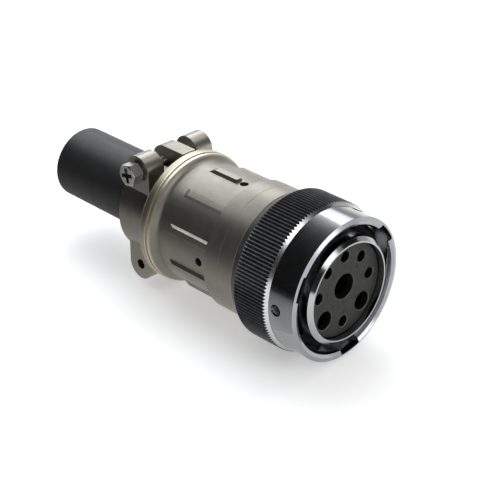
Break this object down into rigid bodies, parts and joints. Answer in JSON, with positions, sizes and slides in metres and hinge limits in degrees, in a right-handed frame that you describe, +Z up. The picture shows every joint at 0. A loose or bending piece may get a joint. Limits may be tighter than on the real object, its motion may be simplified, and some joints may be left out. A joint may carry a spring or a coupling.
{
  "type": "circular bayonet cable plug",
  "caption": "Circular cable plug: socket insert in a barrel, knurled bayonet coupling ring, ribbed endbell and a two-saddle clamp on a rubber cable sleeve.",
  "frame": {"origin": "on the plug's axis, in the plane of the coupling ring's front edge, inside the span of the barrel", "axes": "+X along the plug's axis out of its mating front, +Z up, the clamp screws run along Y"},
  "size_m": [0.1186, 0.047, 0.047],
  "materials": {
    "plated_shell": "satin warm-grey nickel plating",
    "plated_bell": "satin warm-grey nickel plating, brighter on turned edges",
    "bright_ring": "bright turned",
    "black_grip": "black anodised straight knurl with a bright turned front edge",
    "insert_rubber": "matt moulded",
    "black_rubber": "matt moulded",
    "contact_plating": "dull plated",
    "steel": "bright"
  },
  "bodies": {
    "plug": {"plug_shell": "plated_shell", "socket_insert": "insert_rubber", "wire_grommet": "insert_rubber", "grommet_follower": "plated_shell", "centre_socket": "contact_plating", "power_socket_1": "contact_plating", "power_socket_2": "contact_plating", "signal_socket_1": "contact_plating", "signal_socket_2": "contact_plating", "signal_socket_3": "contact_plating", "signal_socket_4": "contact_plating", "signal_socket_5": "contact_plating", "signal_socket_6": "contact_plating", "wave_spring": "steel", "retaining_ring": "steel", "face_seal": "black_rubber", "endbell": "plated_bell", "endbell_seal": "black_rubber", "cable_sleeve": "black_rubber"},
    "thrust_washer": {"thrust_washer": "steel"},
    "coupling": {"coupling_ring": "bright_ring", "grip_sleeve": "black_grip"},
    "left_clamp": {"left_saddle": "plated_bell", "top_screw": "steel", "top_lock_washer": "steel"},
    "right_clamp": {"right_saddle": "plated_bell", "bottom_screw": "steel", "bottom_lock_washer": "steel"}
  },
  "joints": [
    {"name": "ring_float", "type": "slide", "parent": "plug", "child": "thrust_washer", "axis": [1, 0, 0], "range_m": [0, 0.0008], "stiffness_N_per_m": 4000, "springref_m": -0.002, "deforming": ["wave_spring"]},
    {"name": "ring_turn", "type": "hinge", "parent": "thrust_washer", "child": "coupling", "pos_m": [-0.012, 0, 0], "axis": [1, 0, 0], "continuous": true},
    {"name": "left_clamp_slide", "type": "slide", "parent": "plug", "child": "left_clamp", "axis": [0, -1, 0], "range_m": [0, 0.0015]},
    {"name": "right_clamp_slide", "type": "slide", "parent": "plug", "child": "right_clamp", "axis": [0, 1, 0], "range_m": [0, 0.0015]}
  ]
}
